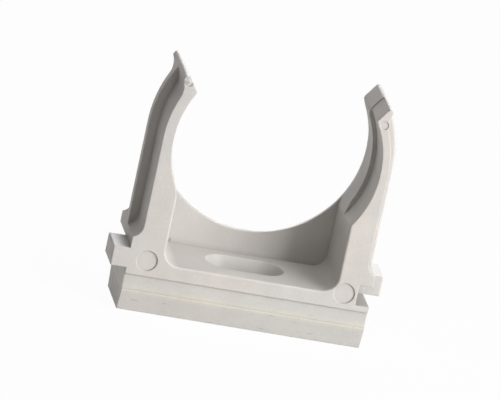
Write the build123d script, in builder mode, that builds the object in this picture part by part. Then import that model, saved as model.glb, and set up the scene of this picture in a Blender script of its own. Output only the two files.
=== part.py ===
from build123d import *
from math import atan, atan2, cos, degrees, radians, sin, sqrt, tan
import os

# A clip-on saddle that holds one 50 mm conduit, moulded in one piece.
# Millimetres. X runs along a row of clips, Y along the conduit, Z up.
# The origin is the middle of the foot's underside.
# The mould splits at y = 0. Turned half round about Z, the ribs, side tabs,
# side recesses and arm reliefs fall on each other.

# Bore and arms
bore_diameter = 50.0
clip_depth = 22.0
arm_wall = 3.05
arm_end_angle = 22.0
bore_flare = 0.4
bore_flare_depth = 3.0

# Heads of the arms, with the slopes that spread them as a conduit goes in
nose_angle = 29.1
lead_in_angle = 54.3
nose_round = 1.9
head_flank = 1.85
head_round = 0.7

# Stiffening rib on each arm, on one side of the split
rib_height = 2.25
rib_thickness = 3.25
rib_round = 0.5

# Relief inside each arm: the bore is wider on one side of the split
relief_shift = 0.7
relief_lead_in_step = 0.25

# Foot and body block
foot_height = 9.55
foot_base_depth = 18.3
rim_height = 5.6
rim_depth = 21.9
rim_round = 0.25
waist_depth = 21.0
body_height = 9.35
shoulder_rise = 3.25

# Screw well between the arms, open at the front and into the bore
well_floor = 13.15
well_below_bore = 6.55
well_side_wall = 8.65
well_corner = 3.95
well_back_wall = 1.85
well_rim_round = 0.45
well_draft_angle = 1.2
well_mouth_rise = 16.85
well_mouth_height = 6.6
well_mouth_angle = 15.4

# Screw slot in the well's floor
slot_length = 14.2
slot_width = 5.6
slot_lead = 2.8
slot_lead_depth = 6.1

# Tab and recess on each side, which lock a clip to the next in a row
tab_reach = 4.1
tab_height = 4.95
tab_above_foot = 1.55
tab_round = 0.4
tab_clearance = 0.1
recess_reach = 3.45

# Marks of the ejector pins on the front face
body_pin_diameter = 5.1
body_pin_depth = 0.25
body_pin_rise = 3.95
left_pin_inset = 4.7
right_pin_inset = 6.7
head_pin_diameter = 2.2
head_pin_depth = 0.15
head_pin_wall = 1.5
left_head_pin_angle = 30.8
right_head_pin_angle = 26.3

# Sizes that follow
bore_radius = bore_diameter / 2
bore_height = well_floor + well_below_bore + bore_radius
bore_mouth_radius = bore_radius + bore_flare
arm_radius = bore_radius + arm_wall
half_width = arm_radius + rib_height
half_depth = clip_depth / 2
body_top = foot_height + body_height
tab_middle = foot_height + tab_above_foot + tab_height / 2
well_half_width = half_width - well_side_wall
well_length = clip_depth - well_back_wall
well_back_floor = well_floor + well_length * tan(radians(well_draft_angle))
slot_lead_taper = degrees(atan(slot_lead / slot_lead_depth))
front_face = Plane.XZ.offset(half_depth)


def off_axis(radius, angle):
    """Point of the front view at this radius and angle about the bore's axis."""
    return Vector(radius * cos(radians(angle)), bore_height + radius * sin(radians(angle)))


# The lead-in slope runs from the nose on the bore out to the arm's full reach
nose = off_axis(bore_radius, nose_angle)
lead_in = Vector(cos(radians(lead_in_angle)), sin(radians(lead_in_angle)))
into_head = Vector(lead_in.Y, -lead_in.X)
along = (nose - Vector(0, bore_height)).dot(lead_in)
lead_in_length = sqrt(along**2 + half_width**2 - bore_radius**2) - along
crown = nose + lead_in * lead_in_length
crown_angle = degrees(atan2(crown.Y - bore_height, crown.X))
head_angle = crown_angle - degrees(head_flank / half_width)

# Rib: follows the arm's outside at the width of the body, up to the head
with BuildPart() as rib:
    with BuildSketch(Plane.XZ):
        with BuildLine():
            rib_root = bore_radius + arm_wall / 2
            Line((rib_root, body_top), (half_width, body_top))
            Line((half_width, body_top), (half_width, bore_height))
            CenterArc((0, bore_height), half_width, 0, head_angle)
            Line(off_axis(half_width, head_angle), off_axis(rib_root, head_angle))
            CenterArc((0, bore_height), rib_root, 0, head_angle)
            Line((rib_root, bore_height), (rib_root, body_top))
        make_face()
    extrude(amount=rib_thickness)
    rib_edges = rib.faces().sort_by(Axis.Y)[0].edges()
    fillet(rib_edges.sort_by(Axis.X)[-2:], rib_round)

# Tab: a block on the side of the body, behind the split on the right
with BuildPart() as side_tab:
    with BuildSketch(Plane.YZ.offset(half_width)):
        with Locations((tab_clearance, tab_middle)):
            Rectangle(half_depth - tab_clearance, tab_height, align=(Align.MIN, Align.CENTER))
    extrude(amount=tab_reach)
    fillet(side_tab.faces().sort_by(Axis.X)[-1].edges(), tab_round)

# Recess: takes the next clip's tab, in front of the split on the right
with BuildPart() as side_recess:
    with BuildSketch(Plane.YZ.offset(half_width)):
        with Locations((0, tab_middle)):
            Rectangle(half_depth, tab_height + 2 * tab_clearance, align=(Align.MAX, Align.CENTER))
    extrude(amount=-recess_reach)

# Relief: the bore moved outward, from the front face back to the split
with BuildPart() as arm_relief:
    with BuildSketch(Plane.XZ):
        with Locations((relief_shift, bore_height)):
            Circle(bore_mouth_radius)
        with BuildLine():
            step = into_head * relief_lead_in_step
            past_end = lead_in * lead_in_length / 2
            into_mouth = -into_head * lead_in_length / 2
            Polyline(
                nose - past_end + step,
                crown + past_end + step,
                crown + past_end + into_mouth,
                nose - past_end + into_mouth,
                close=True,
            )
        make_face()
    extrude(amount=half_depth)

# Flare at each mouth of the bore
with BuildPart() as bore_mouth:
    with BuildSketch(front_face):
        with Locations((0, bore_height)):
            Circle(bore_mouth_radius)
    with BuildSketch(front_face.offset(-bore_flare_depth)):
        with Locations((0, bore_height)):
            Circle(bore_radius)
    loft()

with BuildPart() as clip:
    # Foot: leans out to a rim, with a shallow waist between rim and body
    with BuildSketch(Plane.YZ):
        with BuildLine():
            Polyline(
                (0, 0),
                (foot_base_depth / 2, 0),
                (rim_depth / 2, rim_height),
                (waist_depth / 2, rim_height),
                (waist_depth / 2, foot_height),
                (0, foot_height),
                close=True,
            )
        foot_half = make_face()
        fillet(foot_half.vertices().sort_by(Axis.X)[-1], rim_round)
        mirror(about=Plane.YZ)
    extrude(amount=half_width, both=True)

    # Body block, shoulders and arms, drawn as the right half of the front view
    with BuildSketch(Plane.XZ) as front_view:
        with BuildLine():
            Line((0, foot_height), (half_width, foot_height))
            Line((half_width, foot_height), (half_width, body_top))
            TangentArc(
                (arm_radius, body_top + shoulder_rise),
                (half_width, body_top),
                tangent=(0, -1),
            )
            Line((arm_radius, body_top + shoulder_rise), (arm_radius, bore_height))
            arm = CenterArc((0, bore_height), arm_radius, 0, arm_end_angle)
            TangentArc(arm @ 1, off_axis(half_width, head_angle), tangent=arm % 1)
            CenterArc((0, bore_height), half_width, head_angle, crown_angle - head_angle)
            Line(crown, nose)
            CenterArc((0, bore_height), bore_radius, -90, 90 + nose_angle)
            Line((0, bore_height - bore_radius), (0, foot_height))
        make_face()
        fillet(front_view.vertices().sort_by_distance(crown)[0], head_round)
        fillet(front_view.vertices().sort_by_distance(nose)[0], nose_round)
        mirror(about=Plane.YZ)
    extrude(amount=half_depth, both=True)

    with PolarLocations(0, 2):
        add(rib.part)
        add(side_tab.part)

    # Screw well, with draft all round and sides that lean out near the bore
    with BuildSketch(front_face) as well_outline:
        with Locations((0, well_floor)):
            Rectangle(2 * well_half_width, well_mouth_rise, align=(Align.CENTER, Align.MIN))
        fillet(well_outline.vertices().group_by(Axis.Y)[0], well_corner)
        with Locations((0, well_floor + well_mouth_rise)):
            mouth_reach = well_half_width + well_mouth_height * tan(radians(well_mouth_angle))
            Trapezoid(
                2 * mouth_reach,
                well_mouth_height,
                90 - well_mouth_angle,
                rotation=180,
                align=(Align.CENTER, Align.MAX),
            )
    extrude(amount=-well_length, taper=well_draft_angle, mode=Mode.SUBTRACT)
    well_rim = clip.edges().filter_by_position(
        Axis.Y, -half_depth - well_rim_round / 2, -half_depth + well_rim_round / 2
    )
    well_rim = well_rim.filter_by_position(Axis.X, -bore_radius, bore_radius)
    well_rim = well_rim.filter_by_position(
        Axis.Z, well_floor - well_rim_round, well_floor + well_mouth_rise
    )
    fillet(well_rim, well_rim_round)

    # Screw slot, with a sloped lead-in down from the well's floor
    with BuildSketch(Plane.XY.offset(well_back_floor)):
        SlotOverall(slot_length + 2 * slot_lead, slot_width + 2 * slot_lead)
    extrude(amount=-slot_lead_depth, taper=slot_lead_taper, mode=Mode.SUBTRACT)
    with BuildSketch(Plane.XY):
        SlotOverall(slot_length, slot_width)
    extrude(amount=well_floor, mode=Mode.SUBTRACT)

    with PolarLocations(0, 2):
        add(side_recess.part, mode=Mode.SUBTRACT)
        add(bore_mouth.part, mode=Mode.SUBTRACT)
        add(arm_relief.part, mode=Mode.SUBTRACT)

    # Ejector pin marks: two beside the well and a small one in each head
    with BuildSketch(front_face):
        with Locations(
            (left_pin_inset - half_width, foot_height + body_pin_rise),
            (half_width - right_pin_inset, foot_height + body_pin_rise),
        ):
            Circle(body_pin_diameter / 2)
    extrude(amount=-body_pin_depth, mode=Mode.SUBTRACT)
    with BuildSketch(front_face):
        with Locations(
            off_axis(half_width - head_pin_wall, 180 - left_head_pin_angle),
            off_axis(arm_radius - head_pin_wall / 2, right_head_pin_angle),
        ):
            Circle(head_pin_diameter / 2)
    extrude(amount=-head_pin_depth, mode=Mode.SUBTRACT)

clip.part.label = "conduit_clip"
os.makedirs("parts", exist_ok=True)
export_step(clip.part, "parts/conduit_clip.step")
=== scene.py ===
import bpy
from mathutils import Matrix, Vector

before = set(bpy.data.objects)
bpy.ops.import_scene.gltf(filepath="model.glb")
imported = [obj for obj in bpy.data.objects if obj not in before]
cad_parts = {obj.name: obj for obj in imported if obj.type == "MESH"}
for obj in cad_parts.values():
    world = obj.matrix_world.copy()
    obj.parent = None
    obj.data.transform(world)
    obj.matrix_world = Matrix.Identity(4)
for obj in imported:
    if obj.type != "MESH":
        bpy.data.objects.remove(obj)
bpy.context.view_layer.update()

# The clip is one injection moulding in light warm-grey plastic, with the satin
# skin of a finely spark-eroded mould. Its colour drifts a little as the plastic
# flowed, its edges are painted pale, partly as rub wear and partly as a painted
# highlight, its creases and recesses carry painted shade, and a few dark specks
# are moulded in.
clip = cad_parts["conduit_clip"]
plastic = bpy.data.materials.new("light_grey_moulded_plastic")
plastic.use_nodes = True
skin = plastic.node_tree
shader = skin.nodes["Principled BSDF"]


def put(tree, socket, term):
    """Give a socket a number, a colour or the output of another node."""
    if isinstance(term, bpy.types.NodeSocket):
        tree.links.new(term, socket)
    else:
        socket.default_value = term


place = skin.nodes.new("ShaderNodeTexCoord").outputs["Object"]
split = skin.nodes.new("ShaderNodeSeparateXYZ")
put(skin, split.inputs[0], place)

# Its colour: slow drift between a warmer and a cooler grey, cooler in the
# recesses and on the foot, which lie behind the end faces. Over it come mottling
# about 6 mm across and the fine grain of the mould, a few parts in a hundred.
warm_grey = (0.650, 0.603, 0.567, 1)
cool_grey = (0.612, 0.594, 0.572, 1)
drift_waves, mottle_waves, grain_waves = 55, 170, 2600
cool_up_to, near_end_face, coolness = 0.01055, 0.0109, 0.7
mottle_least, mottle_most = 0.97, 1.03
grain_least, grain_most = 0.965, 1.035


def calc(tree, operation, *terms):
    """Math node on numbers or sockets."""
    maths = tree.nodes.new("ShaderNodeMath")
    maths.operation = operation
    for socket, term in zip(maths.inputs, terms):
        put(tree, socket, term)
    return maths.outputs[0]


def spread(tree, value, low, high, to_low, to_high):
    """Map a value from one range to another, held at both ends."""
    mapping = tree.nodes.new("ShaderNodeMapRange")
    for name, term in (
        ("Value", value),
        ("From Min", low),
        ("From Max", high),
        ("To Min", to_low),
        ("To Max", to_high),
    ):
        put(tree, mapping.inputs[name], term)
    return mapping.outputs["Result"]


def tint(tree, share, first, second):
    """Colour between two others, by a share from 0 to 1."""
    mixer = tree.nodes.new("ShaderNodeMix")
    mixer.data_type = "RGBA"
    share_in, first_in, second_in = mixer.inputs[0], mixer.inputs[6], mixer.inputs[7]
    put(tree, share_in, share)
    put(tree, first_in, first)
    put(tree, second_in, second)
    return mixer.outputs[2]


def cloud(tree, place, waves_per_metre, detail):
    """Smooth noise from 0 to 1 with this many waves to the metre."""
    noise = tree.nodes.new("ShaderNodeTexNoise")
    put(tree, noise.inputs["Vector"], place)
    put(tree, noise.inputs["Scale"], waves_per_metre)
    put(tree, noise.inputs["Detail"], detail)
    return noise.outputs["Fac"]


off_parting = calc(skin, "ABSOLUTE", split.outputs["Y"])
set_back = spread(skin, off_parting, cool_up_to, near_end_face, coolness, 0)
drift = spread(skin, cloud(skin, place, drift_waves, 2), 0.35, 0.65, 0, 1)
drift = calc(skin, "MAXIMUM", drift, set_back)
mottle = cloud(skin, place, mottle_waves, 4)
grain = cloud(skin, place, grain_waves, 3)
brightness = calc(
    skin,
    "MULTIPLY",
    spread(skin, mottle, 0.3, 0.7, mottle_least, mottle_most),
    spread(skin, grain, 0.3, 0.7, grain_least, grain_most),
)
body_tone = tint(skin, drift, warm_grey, cool_grey)

# Its edges: rounded by the mould, and painted paler where they stand out, partly
# as rub wear and partly as a painted highlight. Where faces meet inwards the
# colour is darkened as painted shade, and the deep recesses more widely so.
edge_radius, crease_reach, recess_shade_reach = 0.00042, 0.0018, 0.012
edge_highlight_and_rub_gain, crease_shade, deepest_recess_shade = 1.1, 0.84, 0.82


def open_share(tree, distance):
    """Share of the view out of a surface that the piece leaves open within a distance."""
    hollow = tree.nodes.new("ShaderNodeAmbientOcclusion")
    hollow.samples = 8
    hollow.only_local = True
    put(tree, hollow.inputs["Distance"], distance)
    return hollow.outputs["AO"]


rounded = skin.nodes.new("ShaderNodeBevel")
rounded.samples = 6
put(skin, rounded.inputs["Radius"], edge_radius)
facing = skin.nodes.new("ShaderNodeVectorMath")
facing.operation = "DOT_PRODUCT"
put(skin, facing.inputs[0], rounded.outputs["Normal"])
put(skin, facing.inputs[1], skin.nodes.new("ShaderNodeNewGeometry").outputs["Normal"])
corner = spread(skin, facing.outputs["Value"], 1, 0.9, 0, 1)
openness = open_share(skin, crease_reach)
# Edges that stand out are painted paler, partly as a painted highlight and partly as rub
# wear.
highlit_and_rubbed = calc(skin, "MULTIPLY", corner, spread(skin, openness, 0.75, 0.95, 0, 1))
brightness = calc(skin, "MULTIPLY", brightness, spread(skin, highlit_and_rubbed, 0, 1, 1, edge_highlight_and_rub_gain))
# Painted shade: darker where faces meet inwards and the piece closes off the view within a
# short reach.
painted_crease_shade = spread(skin, openness, 0.35, 0.9, crease_shade, 1)
brightness = calc(skin, "MULTIPLY", brightness, painted_crease_shade)
# Painted shade: the deep recesses are darkened where the piece closes off much of the view
# within about 12 mm.
recess_shade_factor = spread(skin, open_share(skin, recess_shade_reach), 0.3, 0.95, deepest_recess_shade, 1)
brightness = calc(skin, "MULTIPLY", brightness, recess_shade_factor)

# The foot's left end is painted paler, partly as painted light from the floor
# below and partly as scraping, with upright streaks, and fine dark scratches
# run along the foot.
foot_top, foot_left_end = 0.0095, -0.0302
streak_waves, streak_squeeze = 1500, (1, 1, 0.08)
lit_scrape_least, lit_scrape_most = 0.06, 0.4
scratch_waves, scratch_squeeze = 2200, (0.12, 1, 1)
scratch_strength = 0.3


def drawn_out(tree, place, squeeze):
    """Place squeezed along some axes, which draws a pattern out along them."""
    squeezed = tree.nodes.new("ShaderNodeMapping")
    put(tree, squeezed.inputs["Vector"], place)
    put(tree, squeezed.inputs["Scale"], squeeze)
    return squeezed.outputs[0]


streaks = cloud(skin, drawn_out(skin, place, streak_squeeze), streak_waves, 3)
streaks = spread(skin, streaks, 0.35, 0.65, lit_scrape_least, lit_scrape_most)
on_foot = calc(skin, "LESS_THAN", split.outputs["Z"], foot_top)
on_left_end = calc(skin, "LESS_THAN", split.outputs["X"], foot_left_end)
# The left end's paler colour is partly painted light, as if bounced up from the floor, and
# partly scraping.
scraped_and_lit = calc(skin, "MULTIPLY", calc(skin, "MULTIPLY", on_foot, on_left_end), streaks)
brightness = calc(skin, "MULTIPLY", brightness, calc(skin, "ADD", scraped_and_lit, 1))
along_row = drawn_out(skin, place, scratch_squeeze)
scratches = cloud(skin, along_row, scratch_waves, 3)
scratches = spread(skin, scratches, 0.66, 0.71, 0, scratch_strength)
scratches = calc(skin, "MULTIPLY", scratches, on_foot)

# Along the foot's rim a thin uneven line is painted pale yellow, partly as a
# painted highlight on the rounded rim and partly as yellowing, and the rest has
# a trace of the yellowing in patches.
yellowing_and_rim_highlight = (0.755, 0.715, 0.59, 1)
rim_rise, rim_highlight_reach = 0.0056, 0.0014
stain_waves = 120
rim_highlight_least, rim_highlight_most, patch_stain_most = 0.25, 0.6, 0.16

off_rim = calc(skin, "ABSOLUTE", calc(skin, "SUBTRACT", split.outputs["Z"], rim_rise))
rim_line = spread(skin, off_rim, 0, rim_highlight_reach, 1, 0)
patches = cloud(skin, place, stain_waves, 3)
rim_highlight_and_stain = spread(skin, patches, 0.35, 0.6, rim_highlight_least, rim_highlight_most)
# The rim line is partly a painted highlight and partly yellowing.
rim_highlight_and_stain = calc(skin, "MULTIPLY", rim_line, rim_highlight_and_stain)
patch_stain = spread(skin, patches, 0.56, 0.72, 0, patch_stain_most)
stain_and_rim_highlight = calc(skin, "MAXIMUM", rim_highlight_and_stain, patch_stain)
body_tone = tint(skin, stain_and_rim_highlight, body_tone, yellowing_and_rim_highlight)

# A few specks of scorched plastic are moulded in, up to about 0.4 mm across. One
# cell in ten holds one. The cells are about 3 mm wide, and a speck's radius is a
# share of that. The same brown shows in the scratches and marks.
speck_brown = (0.16, 0.125, 0.095, 1)
cells_per_metre, clean_share = 330, 0.9
smallest_speck, largest_speck, speck_strength = 0.03, 0.07, 0.55

cells = skin.nodes.new("ShaderNodeTexVoronoi")
put(skin, cells.inputs["Vector"], place)
put(skin, cells.inputs["Scale"], cells_per_metre)
chance = skin.nodes.new("ShaderNodeSeparateColor")
put(skin, chance.inputs[0], cells.outputs["Color"])
picked = calc(skin, "GREATER_THAN", chance.outputs["Red"], clean_share)
speck_radius = spread(skin, chance.outputs["Green"], 0, 1, smallest_speck, largest_speck)
dot = calc(skin, "LESS_THAN", cells.outputs["Distance"], speck_radius)
brown = calc(skin, "MULTIPLY", calc(skin, "MULTIPLY", picked, dot), speck_strength)
brown = calc(skin, "MAXIMUM", brown, scratches)

# Two marks of its own: a dark nick in the well's rear left corner, and a rough
# spot on the left head, where flash beside the ejector pin's mark was torn off.
# The rough spot is darkened in a broken pattern, partly as painted shade in its
# chips and partly as the torn plastic's own colour.
nick_middle, nick_half_size = (-0.0177, 0.00915, 0.0141), (0.0002, 0.0006, 0.0006)
torn_middle, torn_half_size = (-0.0251, -0.011, 0.0597), (0.0011, 0.0008, 0.0011)
nick_strength, torn_strength = 0.8, 0.4
tear_waves = 1000


def within(tree, place, middle, half_size):
    """Soft mask, 1 in the middle half of an ellipsoid and 0 from its surface outward."""
    local = tree.nodes.new("ShaderNodeMapping")
    local.vector_type = "TEXTURE"
    put(tree, local.inputs["Vector"], place)
    put(tree, local.inputs["Location"], middle)
    put(tree, local.inputs["Scale"], half_size)
    reach = tree.nodes.new("ShaderNodeVectorMath")
    reach.operation = "LENGTH"
    put(tree, reach.inputs[0], local.outputs[0])
    return spread(tree, reach.outputs["Value"], 0.5, 1, 1, 0)


nick = within(skin, place, nick_middle, nick_half_size)
brown = calc(skin, "MAXIMUM", brown, calc(skin, "MULTIPLY", nick, nick_strength))
torn = within(skin, place, torn_middle, torn_half_size)
tear = cloud(skin, place, tear_waves, 2)
torn_mark_and_shade = calc(skin, "MULTIPLY", torn, spread(skin, tear, 0.4, 0.5, torn_strength, 0))
brown = calc(skin, "MAXIMUM", brown, torn_mark_and_shade)

shaded = skin.nodes.new("ShaderNodeVectorMath")
shaded.operation = "SCALE"
put(skin, shaded.inputs[0], body_tone)
put(skin, shaded.inputs["Scale"], brightness)
put(skin, shader.inputs["Base Color"], tint(skin, brown, shaded.outputs[0], speck_brown))

# Its finish: satin, glossier in patches, with faint scuffs along the row. The
# skin has slow sink waves, the parting line at the middle and fine grain, and it
# is rough where the flash was torn off.
glossiest, dullest = 0.44, 0.54
scuff_waves, scuff_dullness = 1400, 0.12
sink_waves, parting_half_width = 110, 0.00009
sink_depth, parting_depth = 0.00005, 0.00004
grain_depth, tear_depth = 0.000012, 0.0004


def raised(tree, height, depth, normal):
    """Bump of this depth in metres on top of another normal."""
    bump = tree.nodes.new("ShaderNodeBump")
    put(tree, bump.inputs["Height"], height)
    put(tree, bump.inputs["Distance"], depth)
    put(tree, bump.inputs["Normal"], normal)
    return bump.outputs["Normal"]


scuffs = spread(skin, cloud(skin, along_row, scuff_waves, 4), 0.58, 0.72, 0, scuff_dullness)
satin = spread(skin, mottle, 0.3, 0.7, glossiest, dullest)
put(skin, shader.inputs["Roughness"], calc(skin, "ADD", satin, scuffs))
shader.inputs["Specular IOR Level"].default_value = 0.42
parting = spread(skin, off_parting, 0, parting_half_width, 1, 0)
sink = cloud(skin, place, sink_waves, 1)
surface = raised(skin, sink, sink_depth, rounded.outputs["Normal"])
surface = raised(skin, parting, parting_depth, surface)
surface = raised(skin, grain, grain_depth, surface)
surface = raised(skin, calc(skin, "MULTIPLY", torn, tear), tear_depth, surface)
put(skin, shader.inputs["Normal"], surface)
clip.data.materials.clear()
clip.data.materials.append(plastic)

# The floor is a plain white sheet. It shows white to the camera and in
# reflections, keeps a faint shadow of the clip, and bounces light up to it as
# grey paper would.
floor_width = 6
bounced_grey, seen_white = (0.68, 0.67, 0.65, 1), (0.8, 0.8, 0.8, 1)
glow_share = 0.96


def seen_directly(tree):
    """1 for what the camera or a reflection sees, and 0 for what lights a surface."""
    ray = tree.nodes.new("ShaderNodeLightPath")
    return calc(tree, "MAXIMUM", ray.outputs["Is Camera Ray"], ray.outputs["Is Glossy Ray"])


bpy.ops.mesh.primitive_plane_add(size=floor_width, location=(0, 0, 0))
floor = bpy.context.object
floor.name = "floor"
sheet = bpy.data.materials.new("white_sheet")
sheet.use_nodes = True
paper_tree = sheet.node_tree
paper_tree.nodes.clear()
seen = seen_directly(paper_tree)
glow = paper_tree.nodes.new("ShaderNodeEmission")
paper = paper_tree.nodes.new("ShaderNodeBsdfDiffuse")
put(paper_tree, paper.inputs["Color"], tint(paper_tree, seen, bounced_grey, seen_white))
both = paper_tree.nodes.new("ShaderNodeMixShader")
put(paper_tree, both.inputs[0], calc(paper_tree, "MULTIPLY", seen, glow_share))
put(paper_tree, both.inputs[1], paper.outputs[0])
put(paper_tree, both.inputs[2], glow.outputs[0])
paper_out = paper_tree.nodes.new("ShaderNodeOutputMaterial")
put(paper_tree, paper_out.inputs["Surface"], both.outputs[0])
floor.data.materials.append(sheet)

# The studio is white all round, seen by the camera and in reflections, and
# lights the clip only weakly, with a trace of warmth.
warm_fill, plain_white = (1, 0.965, 0.94, 1), (1, 1, 1, 1)
fill_strength = 0.085

world = bpy.data.worlds.new("studio")
bpy.context.scene.world = world
world.use_nodes = True
air = world.node_tree
room = air.nodes["Background"]
seen = seen_directly(air)
put(air, room.inputs["Color"], tint(air, seen, warm_fill, plain_white))
put(air, room.inputs["Strength"], spread(air, seen, 0, 1, fill_strength, 1))

# Four soft lamps: the key in front on the right, one overhead that fills the
# well and the lead-in slopes, one behind, and a weak one on the right that
# reaches into the recess.
clip_middle = Vector((0, 0, 0.03))


def soft_lamp(name, place, width, power):
    """Square area lamp at a place in metres, of this power in watts, facing the clip."""
    lamp = bpy.data.lights.new(name, "AREA")
    lamp.size = width
    lamp.energy = power
    holder = bpy.data.objects.new(name, lamp)
    holder.location = place
    aim = clip_middle - Vector(place)
    holder.rotation_euler = aim.to_track_quat("-Z", "Y").to_euler()
    bpy.context.collection.objects.link(holder)


soft_lamp("key_lamp", place=(0.74, -0.74, 0.3), width=0.75, power=14.4)
soft_lamp("top_lamp", place=(0.1, -0.1, 0.8), width=0.5, power=2.2)
soft_lamp("back_lamp", place=(0.1, 0.9, 0.2), width=0.3, power=2.2)
soft_lamp("right_lamp", place=(0.8, -0.1, 0.3), width=0.3, power=0.6)

# The camera looks down on the clip from the left and front through a long
# lens, and is rolled a little, so the row direction slopes in the picture.
picture_width, focal_pixels = 500, 16097.2
camera_place = (-0.67036, -3.71385, 1.05669)
camera_right = Vector((0.97194, -0.11877, 0.20304))
camera_up = Vector((-0.16163, 0.28991, 0.94331))

camera_data = bpy.data.cameras.new("camera")
camera = bpy.data.objects.new("camera", camera_data)
bpy.context.collection.objects.link(camera)
bpy.context.scene.camera = camera
camera_data.sensor_fit = "HORIZONTAL"
camera_data.sensor_width = 36
camera_data.lens = camera_data.sensor_width * focal_pixels / picture_width
camera_data.clip_end = 50
camera_back = camera_right.cross(camera_up)
turn = Matrix((camera_right, camera_up, camera_back)).transposed().to_4x4()
camera.matrix_world = Matrix.Translation(camera_place) @ turn

bpy.context.scene.view_settings.view_transform = "Standard"
